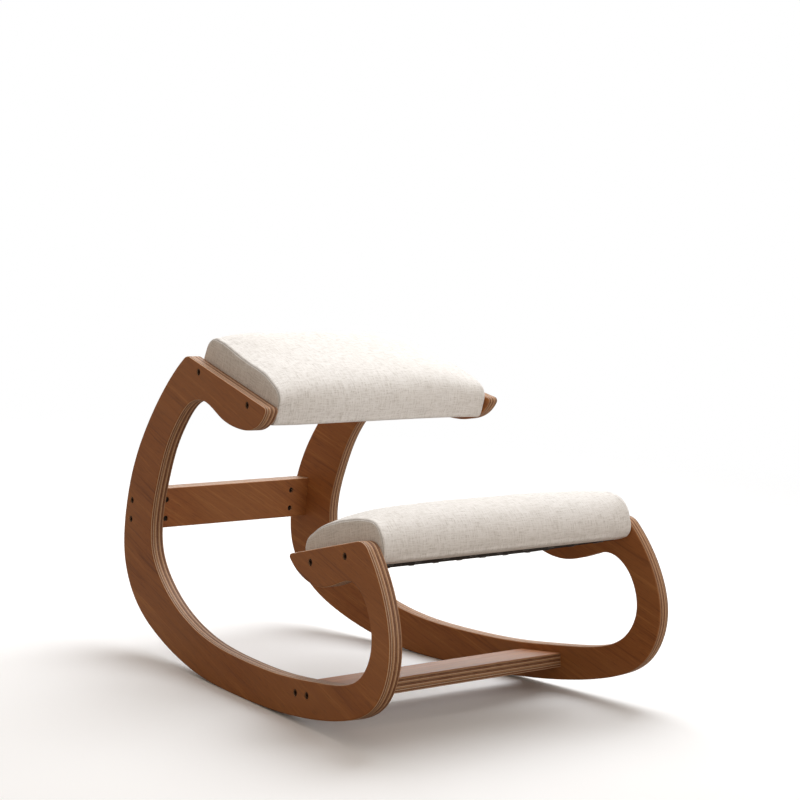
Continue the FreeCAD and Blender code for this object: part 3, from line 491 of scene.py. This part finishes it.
def pad_mesh(name, which, mid, mid_keys, seam_l, seam_r, seam_keys, power, shrink, count=136):
    """The cover before it is filled: a strip over the top, its two side panels
    and the folded underside, as one closed mesh. Returns the object; each
    vertex keeps its seam distance and whether it lies on the board as mesh attributes."""
    m = matched(mid, count, mid_keys)
    sl = matched(seam_l, count, seam_keys)
    sr = matched(seam_r, count, seam_keys)
    half = 0.190 if which == "seat" else 0.222
    near = [0.0, 0.0032, 0.0075, 0.013, 0.020]
    inner = list(np.linspace(0.028, half, 24 if which == "seat" else 28))
    dist = near + inner[:-1] + [half]
    ws = [1.0 - d / half for d in dist]          # 1 at the seam to 0 in the middle
    rows = [-w for w in ws] + [w for w in reversed(ws[:-1])]
    verts, uvs, seamd, board = [], {}, [], []
    arc = np.concatenate([[0], np.cumsum(np.linalg.norm(np.diff(np.vstack([m, m[:1]]), axis=0), axis=1))]) / 1000.0
    low = -25.4 if which == "seat" else -30.5
    for w in rows:
        g = abs(w) ** (power[0] if w < 0 else power[1])
        seam = sl if w < 0 else sr
        prof = m + (seam - m) * g
        # the cover starts a little smaller than it ends
        ctr = prof.mean(0)
        for j in range(count):
            u, v = prof[j]
            if v > low + 3.0:
                k = shrink * (1.0 - g)
                n = (prof[j] - ctr) / np.linalg.norm(prof[j] - ctr)
                u, v = u - n[0] * k, v - n[1] * k
            y, z = to_yz(which, u / 1000.0, v / 1000.0)
            x = w * half_gap(y, 0.0008)
            verts.append((x, y, z))
            seamd.append((1.0 - abs(w)) * half)
            board.append(1.0 if v < low + 1.0 else 0.0)
    nr = len(rows)
    faces, face_uv = [], []
    for i in range(nr - 1):
        for j in range(count):
            j2 = (j + 1) % count
            quad = (i * count + j, (i + 1) * count + j, (i + 1) * count + j2, i * count + j2)
            b0, b1 = arc[j], arc[j + 1]
            x0, x1 = rows[i] * half, rows[i + 1] * half
            faces.append(quad)
            face_uv.append(((x0, b0), (x1, b0), (x1, b1), (x0, b1)))
    # side panels, ring by ring towards a spine inside the panel
    for side, row, seam in ((-1, 0, sl), (1, nr - 1, sr)):
        rings = 9
        prev = [row * count + j for j in range(count)]
        lo, hi = seam.min(0), seam.max(0)
        c0 = np.array([lo[0] + (hi[1] - lo[1]) * 0.5, (lo[1] + hi[1]) * 0.5])
        c1 = np.array([hi[0] - (hi[1] - lo[1]) * 0.5, (lo[1] + hi[1]) * 0.5])
        # each point of the loop pairs with the one across the panel
        j0 = int(round(0.14 * count)) // 2
        half_count = count // 2
        across = [((j0 + 1 + k) % count, (j0 - k) % count) for k in range(half_count)]
        spine = np.zeros((count, 2))
        for ja, jb in across:
            u = 0.5 * (seam[ja][0] + seam[jb][0])
            v = 0.5 * (seam[ja][1] + seam[jb][1])
            spine[ja] = spine[jb] = (min(max(u, c0[0]), c1[0]), v)
        prev_uv = [tuple(p / 1000.0) for p in seam]
        for r in range(1, rings + 1):
            f = 1.0 - (r / float(rings)) ** 1.25 * 0.95
            ring, ring_uv = [], []
            for j in range(count):
                q = spine[j] + (seam[j] - spine[j]) * f
                u, v = q
                y, z = to_yz(which, u / 1000.0, v / 1000.0)
                x = side * (half_gap(y, 0.0008) - 0.0006 * math.sin(math.pi * min(1.0, (1 - f) * 3)))
                ring.append(len(verts))
                verts.append((x, y, z))
                seamd.append(-float(np.linalg.norm(seam[j] - q)) / 1000.0)
                board.append(0.0)
                ring_uv.append(tuple(q / 1000.0))
            for j in range(count):
                j2 = (j + 1) % count
                quad = (prev[j], prev[j2], ring[j2], ring[j])
                quv = (prev_uv[j], prev_uv[j2], ring_uv[j2], ring_uv[j])
                if side > 0:
                    quad, quv = quad[::-1], quv[::-1]
                faces.append(quad)
                face_uv.append(quv)
            prev, prev_uv = ring, ring_uv
        for (a0, b0), (a1, b1) in zip(across[:-1], across[1:]):
            faces.append((prev[a0], prev[a1], prev[b1], prev[b0]))
            face_uv.append((prev_uv[a0], prev_uv[a1], prev_uv[b1], prev_uv[b0]))
    me = bpy.data.meshes.new(name)
    me.from_pydata([Vector(v) for v in verts], [], faces)
    layer = me.uv_layers.new(name="weave")
    for poly, quv in zip(me.polygons, face_uv):
        for li, c in zip(poly.loop_indices, quv):
            layer.data[li].uv = c
    a1 = me.attributes.new("seam_distance", "FLOAT", "POINT")
    a1.data.foreach_set("value", np.array(seamd, np.float32))
    a2 = me.attributes.new("on_board", "FLOAT", "POINT")
    a2.data.foreach_set("value", np.array(board, np.float32))
    me.validate()
    me.update()
    ob = bpy.data.objects.new(name, me)
    SCENE.collection.objects.link(ob)
    import bmesh
    bm = bmesh.new()
    bm.from_mesh(me)
    bmesh.ops.recalc_face_normals(bm, faces=bm.faces)
    bm.to_mesh(me)
    bm.free()
    return ob


def coords(me):
    co = np.empty(len(me.vertices) * 3)
    me.vertices.foreach_get("co", co)
    return co.reshape(-1, 3)


def set_coords(me, co):
    me.vertices.foreach_set("co", co.ravel())
    me.update()


def attribute(me, name):
    a = np.empty(len(me.vertices), np.float32)
    me.attributes[name].data.foreach_get("value", a)
    return a


def inflate(ob, cap, pressure=4.0, frames=20):
    """Fills the cover: cloth under inside pressure, held on the board."""
    me = ob.data
    before = coords(me).copy()
    board = attribute(me, "on_board")
    vg = ob.vertex_groups.new(name="held")
    held = [i for i in range(len(me.vertices)) if board[i] > 0.5]
    vg.add(held, 1.0, "REPLACE")
    seam = attribute(me, "seam_distance")
    for i in range(len(me.vertices)):
        if board[i] <= 0.5 and abs(seam[i]) < 0.0015:
            vg.add([i], 0.85, "REPLACE")
    mod = ob.modifiers.new("Cloth", "CLOTH")
    s = mod.settings
    s.quality = 5
    s.mass = 0.25
    s.tension_stiffness = 18.0
    s.compression_stiffness = 14.0
    s.shear_stiffness = 8.0
    s.bending_stiffness = 2.5
    s.tension_damping = 8.0
    s.compression_damping = 8.0
    s.air_damping = 2.0
    s.use_pressure = True
    s.uniform_pressure_force = pressure
    s.vertex_group_mass = "held"
    s.pin_stiffness = 1.0
    s.effector_weights.gravity = 0.0
    mod.collision_settings.use_collision = False
    mod.collision_settings.use_self_collision = False
    mod.point_cache.frame_start = 1
    mod.point_cache.frame_end = frames
    for f in range(1, frames + 1):
        SCENE.frame_set(f)
    dg = bpy.context.evaluated_depsgraph_get()
    ev = ob.evaluated_get(dg)
    after = coords(ev.data).copy()
    ob.modifiers.remove(mod)
    SCENE.frame_set(1)
    ob.vertex_groups.remove(vg)
    move = after - before
    size = np.linalg.norm(move, axis=1)
    k = np.where(size > 1e-9, cap * np.tanh(size / cap) / np.maximum(size, 1e-9), 1.0)
    co = before + move * k[:, None]
    set_coords(me, co)
    return float(size.max()), float(np.median(size))


def subdivide(ob, levels):
    mod = ob.modifiers.new("Subdivision", "SUBSURF")
    mod.levels = levels
    mod.render_levels = levels
    dg = bpy.context.evaluated_depsgraph_get()
    me = bpy.data.meshes.new_from_object(ob.evaluated_get(dg), preserve_all_data_layers=True, depsgraph=dg)
    ob.modifiers.remove(mod)
    old = ob.data
    ob.data = me
    bpy.data.meshes.remove(old)
    return ob


def fit_between(ob, gap=0.0005):
    """Keeps the cover clear of the frames' inner faces."""
    co = coords(ob.data)
    lim = half_gap(co[:, 1], gap)
    over = np.abs(co[:, 0]) - lim
    # a soft stop over the last half millimetre
    soft = 0.0005
    x = np.abs(co[:, 0])
    start = lim - soft
    past = np.maximum(0.0, x - start)
    x = np.where(past > 0, start + soft * np.tanh(past / soft), x)
    co[:, 0] = np.sign(co[:, 0]) * x
    set_coords(ob.data, co)


def value_noise(p, scale, seed):
    """Smooth noise, -1 to 1, from a few summed waves."""
    r = np.random.default_rng(seed)
    out = np.zeros(len(p))
    for _ in range(9):
        k = r.normal(size=3)
        k = k / np.linalg.norm(k) * scale * r.uniform(0.6, 1.5)
        out += np.sin(p @ k * 2 * np.pi + r.uniform(0, 6.28))
    return out / 9.0 * 1.6


def seam_and_settle(ob, seed):
    """The sewn line between strip and side panel, the fabric's pull beside it,
    and the slight unevenness of the filling."""
    me = ob.data
    co = coords(me)
    signed = attribute(me, "seam_distance")     # below zero on the side panels
    sd = np.abs(signed)
    bd = attribute(me, "on_board")
    me.update()
    no = np.empty(len(me.vertices) * 3, np.float32)
    me.vertex_normals.foreach_get("vector", no)
    no = no.reshape(-1, 3).astype(float)
    free = np.clip(1.0 - bd * 1.2, 0.0, 1.0)
    groove = np.exp(-(sd / 0.0010) ** 2)
    roll = np.exp(-((signed - 0.0045) / 0.0028) ** 2) - 0.35 * np.exp(-((signed + 0.0030) / 0.0022) ** 2)
    pucker = value_noise(co, 46.0, seed) * np.exp(-(sd / 0.012) ** 2)
    lumps = value_noise(co, 9.0, seed + 1)
    small = value_noise(co, 24.0, seed + 2)
    off = (-0.00140 * groove + 0.00055 * roll + 0.00050 * pucker) * free
    off += (0.0009 * lumps + 0.00025 * small) * free * np.clip(sd / 0.02, 0, 1)
    set_coords(me, co + no * off[:, None])


def make_pad(name, which, data, seed):
    ob = pad_mesh(name, which, *data)
    biggest, middle = inflate(ob, 0.0035)
    print(name, "largest and median move before the cap, mm:", round(biggest * 1000, 2), round(middle * 1000, 2))
    subdivide(ob, 1)
    seam_and_settle(ob, seed)
    fit_between(ob)
    for p in ob.data.polygons:
        p.use_smooth = True
    assign(ob, LINEN)
    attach(ob, "root")
    return ob


seat = make_pad("seat_cushion", "seat", (SEAT_MID, SEAT_KEYS, SEAT_SEAM_L, SEAT_SEAM_R, SEAT_SEAM_KEYS, (7.0, 3.4), 3.2), 11)
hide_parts("seat_cover", "seat_foam")
knee = make_pad("knee_cushion", "knee", (KNEE_MID, KNEE_KEYS, KNEE_SEAM_L, KNEE_SEAM_R, KNEE_SEAM_KEYS, (6.0, 7.0), 3.2), 23)
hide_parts("knee_cover", "knee_foam")


# ---------------------------------------------------------------------------
# Black cloth under each pad, with its staples
# ---------------------------------------------------------------------------
def underside(which, u0, u1, v, edge):
    """Cloth folded in at its edges and stapled through them. Returns the cloth
    and the staples."""
    nu, nx = 46, 84
    verts, faces = [], []
    us = np.linspace(u0, u1, nu)
    for layer in (0, 1):
        for i, u in enumerate(us):
            for j in range(nx):
                w = -1 + 2.0 * j / (nx - 1)
                y, _ = to_yz(which, u, v)
                hw = half_gap(y, edge)
                x = w * hw
                d_edge = min(u - u0, u1 - u, hw - abs(x))
                slack = math.exp(-((d_edge - 0.006) / 0.010) ** 2)
                wave = 0.00035 * math.sin(x * 210 + u * 40) * math.sin(u * 190 + 1.3) + 0.0004 * math.sin(x * 31 + 2)
                hem = 0.0003 if d_edge < 0.009 else 0.0
                drop = 0.0 if layer else -(0.0005 + hem + max(0.0, min(1.0, d_edge / 0.03)) * (0.0003 + wave * 0.6) + 0.0001 * slack)
                y, z = to_yz(which, u, v + drop)
                verts.append((x, y, z))
    n = nu * nx
    for layer in (0, 1):
        for i in range(nu - 1):
            for j in range(nx - 1):
                q = (layer * n + i * nx + j, layer * n + i * nx + j + 1,
                     layer * n + (i + 1) * nx + j + 1, layer * n + (i + 1) * nx + j)
                faces.append(q if layer else q[::-1])
    rim = [j for j in range(nx)] + [i * nx + nx - 1 for i in range(1, nu)] + \
          [(nu - 1) * nx + j for j in range(nx - 2, -1, -1)] + [i * nx for i in range(nu - 2, 0, -1)]
    for a, b in zip(rim, rim[1:] + rim[:1]):
        faces.append((a, b, n + b, n + a))
    me = bpy.data.meshes.new(which + "_dust_cloth")
    me.from_pydata(verts, [], faces)
    me.update()
    import bmesh
    bm = bmesh.new()
    bm.from_mesh(me)
    bmesh.ops.recalc_face_normals(bm, faces=bm.faces)
    bm.to_mesh(me)
    bm.free()
    cloth = bpy.data.objects.new(which + "_dust_cloth", me)
    SCENE.collection.objects.link(cloth)
    for p in me.polygons:
        p.use_smooth = True
    assign(cloth, DUST)
    # staples, every 45 mm or so
    cu = bpy.data.curves.new(which + "_staples", "CURVE")
    cu.dimensions = "3D"
    cu.bevel_depth = 0.00042
    cu.bevel_resolution = 2
    cu.use_fill_caps = True

    def staple(u, x, du, dx):
        pts = []
        r = random.Random(int((u * 7919 + x * 104729) * 1000))
        tilt = r.uniform(-0.16, 0.16)
        ca, sa_ = math.cos(tilt), math.sin(tilt)
        du, dx = du * ca - dx * sa_, du * sa_ + dx * ca
        for k, dv in ((-0.0050, 0.0022), (-0.0050, -0.0011), (-0.0046, -0.0015), (0.0046, -0.0015), (0.0050, -0.0011), (0.0050, 0.0022)):
            y, z = to_yz(which, u + du * k, v + dv)
            pts.append((x + dx * k, y, z))
        sp = cu.splines.new("POLY")
        sp.points.add(len(pts) - 1)
        for q, p in zip(sp.points, pts):
            q.co = (*p, 1.0)

    inset = 0.0055
    for u in (u0 + inset, u1 - inset):
        y, _ = to_yz(which, u, v)
        hw = half_gap(y, edge) - 0.020
        cnt = int(round(2 * hw / 0.046))
        for k in range(cnt + 1):
            staple(u, -hw + 2 * hw * k / cnt, 0.0, 1.0)
    cnt = int(round((u1 - u0 - 0.05) / 0.045))
    for k in range(cnt + 1):
        u = u0 + 0.025 + (u1 - u0 - 0.05) * k / cnt
        y, _ = to_yz(which, u, v)
        x = half_gap(y, edge) - inset
        staple(u, x, 1.0, 0.0)
        staple(u, -x, 1.0, 0.0)
    st = bpy.data.objects.new(which + "_staples", cu)
    SCENE.collection.objects.link(st)
    cu.materials.append(STAPLE)
    for o in (cloth, st):
        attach(o, "root")
    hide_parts(which + "_dust_cover")
    return cloth, st


# the cloths reach to 12 mm from the boards' edges
seat_cloth, seat_staples = underside("seat", 0.0275, 0.1855, -0.02545, 0.012)
knee_cloth, knee_staples = underside("knee", 0.0255, 0.1575, -0.03065, 0.012)

# ---------------------------------------------------------------------------
# Floor, light and camera
# ---------------------------------------------------------------------------
fm = Nodes("pale_floor")
ft = fm.tree
pf = fm.place()
fn = fm.noise(pf, 3.0, 2.0, 0.5)
seen = ft.nodes.new("ShaderNodeLightPath").outputs["Is Camera Ray"]
pale = fm.ramp(fn, [(0.3, (0.925, 0.950, 0.975)), (0.7, (0.940, 0.965, 0.990))])
dim = fm.ramp(fn, [(0.3, (0.33, 0.285, 0.245)), (0.7, (0.35, 0.305, 0.265))])
fm.link(fm.mix(seen, dim, pale), fm.bsdf.inputs["Base Color"])
fm.bsdf.inputs["Roughness"].default_value = 0.8
fm.bsdf.inputs["Specular IOR Level"].default_value = 0.1
# the floor fades out into the white of the studio
fx, fy, _ = fm.split(pf)
far_off = fm.math("SQRT", fm.math("ADD", fm.math("MULTIPLY", fx, fx), fm.math("MULTIPLY", fy, fy)))
clear = ft.nodes.new("ShaderNodeBsdfTransparent")
both = ft.nodes.new("ShaderNodeMixShader")
fm.link(fm.maprange(far_off, 0.75, 2.6, 0.0, 1.0, True), both.inputs[0])
fm.link(fm.bsdf.outputs[0], both.inputs[1])
fm.link(clear.outputs[0], both.inputs[2])
fm.link(both.outputs[0], fm.out.inputs[0])
me = bpy.data.meshes.new("floor")
R_FLOOR, SEG = 3.0, 96
me.from_pydata([(R_FLOOR * math.cos(2 * math.pi * i / SEG), R_FLOOR * math.sin(2 * math.pi * i / SEG), 0.0) for i in range(SEG)],
               [], [tuple(range(SEG))])
floor = bpy.data.objects.new("floor", me)
SCENE.collection.objects.link(floor)
assign(floor, fm.mat)

SCENE.view_settings.view_transform = "Standard"
world = bpy.data.worlds.new("studio")
SCENE.world = world
world.use_nodes = True
wt = world.node_tree
wt.nodes.clear()
wo = wt.nodes.new("ShaderNodeOutputWorld")
bg_seen = wt.nodes.new("ShaderNodeBackground")
bg_seen.inputs["Color"].default_value = (1.0, 1.0, 1.0, 1.0)
bg_seen.inputs["Strength"].default_value = 1.0
bg_lit = wt.nodes.new("ShaderNodeBackground")
bg_lit.inputs["Color"].default_value = (1.0, 0.83, 0.68, 1.0)
bg_lit.inputs["Strength"].default_value = 0.40
wm = wt.nodes.new("ShaderNodeMixShader")
wt.links.new(wt.nodes.new("ShaderNodeLightPath").outputs["Is Camera Ray"], wm.inputs[0])
wt.links.new(bg_lit.outputs[0], wm.inputs[1])
wt.links.new(bg_seen.outputs[0], wm.inputs[2])
wt.links.new(wm.outputs[0], wo.inputs[0])


def area(name, place, target, size, size_y, power, colour=(1, 1, 1)):
    li = bpy.data.lights.new(name, "AREA")
    li.shape = "RECTANGLE"
    li.size = size
    li.size_y = size_y
    li.energy = power
    li.color = colour
    ob = bpy.data.objects.new(name, li)
    SCENE.collection.objects.link(ob)
    ob.location = place
    d = Vector(target) - Vector(place)
    ob.rotation_euler = d.to_track_quat("-Z", "Y").to_euler()
    return ob


area("key_overhead", (0.75, 0.55, 2.2), (0.0, 0.0, 0.25), 2.0, 2.0, 56.0, (0.98, 0.99, 1.0))
area("fill_front", (1.5, -2.6, 1.4), (0.0, 0.0, 0.25), 1.6, 1.6, 20.0, (0.985, 0.99, 1.0))
area("fill_low", (-1.3, -1.9, 0.55), (-0.1, -0.25, 0.2), 0.9, 0.7, 3.4, (1.0, 0.95, 0.88))

area("window_behind", (1.7, 2.7, 0.95), (0.0, 0.0, 0.25), 2.2, 1.4, 24.0, (0.98, 0.99, 1.0))

cam_data = bpy.data.cameras.new("camera")
cam = bpy.data.objects.new("camera", cam_data)
SCENE.collection.objects.link(cam)
SCENE.camera = cam
cam_data.sensor_width = 36.0
cam_data.lens = 36.0 * 2332.5 / 800.0
cam_data.clip_end = 200.0
right = Vector((0.7350778, -0.6749391, 0.0641701))
down = Vector((-0.0299708, -0.1269049, -0.9914620))
ahead = Vector((0.6773200, 0.7268785, -0.1135135))
tip = 11.27 / 2332.5
fwd = (ahead + down * tip).normalized()
dwn = (down - ahead * tip).normalized()
cam.matrix_world = Matrix(((right.x, -dwn.x, -fwd.x, -2.1025576),
                           (right.y, -dwn.y, -fwd.y, -2.3037336),
                           (right.z, -dwn.z, -fwd.z, 0.7580738),
                           (0, 0, 0, 1)))

bpy.context.view_layer.update()
